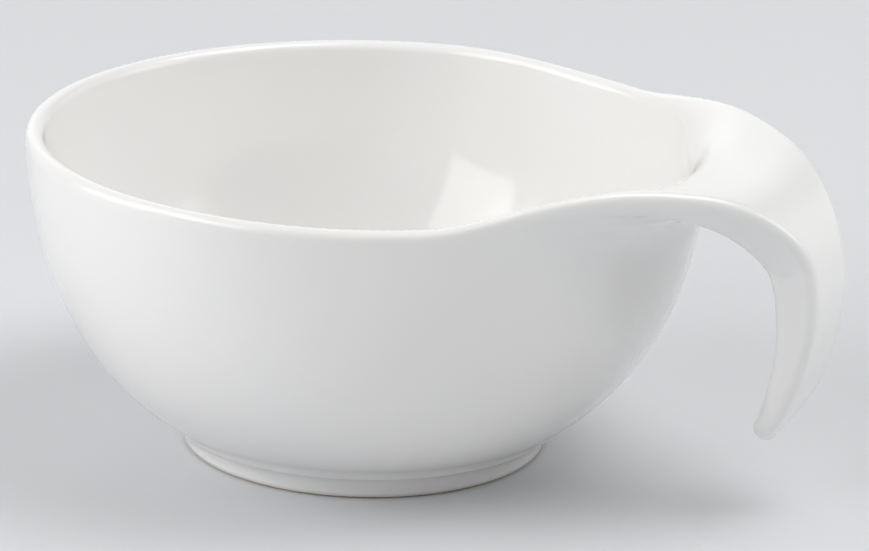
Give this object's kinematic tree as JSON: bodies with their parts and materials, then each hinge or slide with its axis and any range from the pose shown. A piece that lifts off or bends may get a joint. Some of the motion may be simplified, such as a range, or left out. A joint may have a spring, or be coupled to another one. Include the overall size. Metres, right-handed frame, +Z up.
{
  "type": "bowl with handle",
  "caption": "Deep round porcelain bowl on a foot ring, its rim rising and running out into a curled strap handle for holding, pouring and serving.",
  "frame": {"origin": "on the table, under the middle of the part's overall length; the bowl's own axis stands at x = -12.913 mm, y = 0", "axes": "+X from the bowl's axis out along the handle, +Y across the handle, +Z up out of the bowl's mouth"},
  "size_m": [0.1458, 0.1194, 0.0613],
  "materials": {
    "glazed_porcelain": "clear gloss glaze over white porcelain",
    "slip_clay": "fired unglazed slip"
  },
  "bodies": {
    "root": {"bowl_shell": "glazed_porcelain", "handle": "glazed_porcelain", "foot_ring": "glazed_porcelain", "handle_slip_joint": "slip_clay", "foot_slip_joint": "slip_clay"}
  },
  "joints": []
}
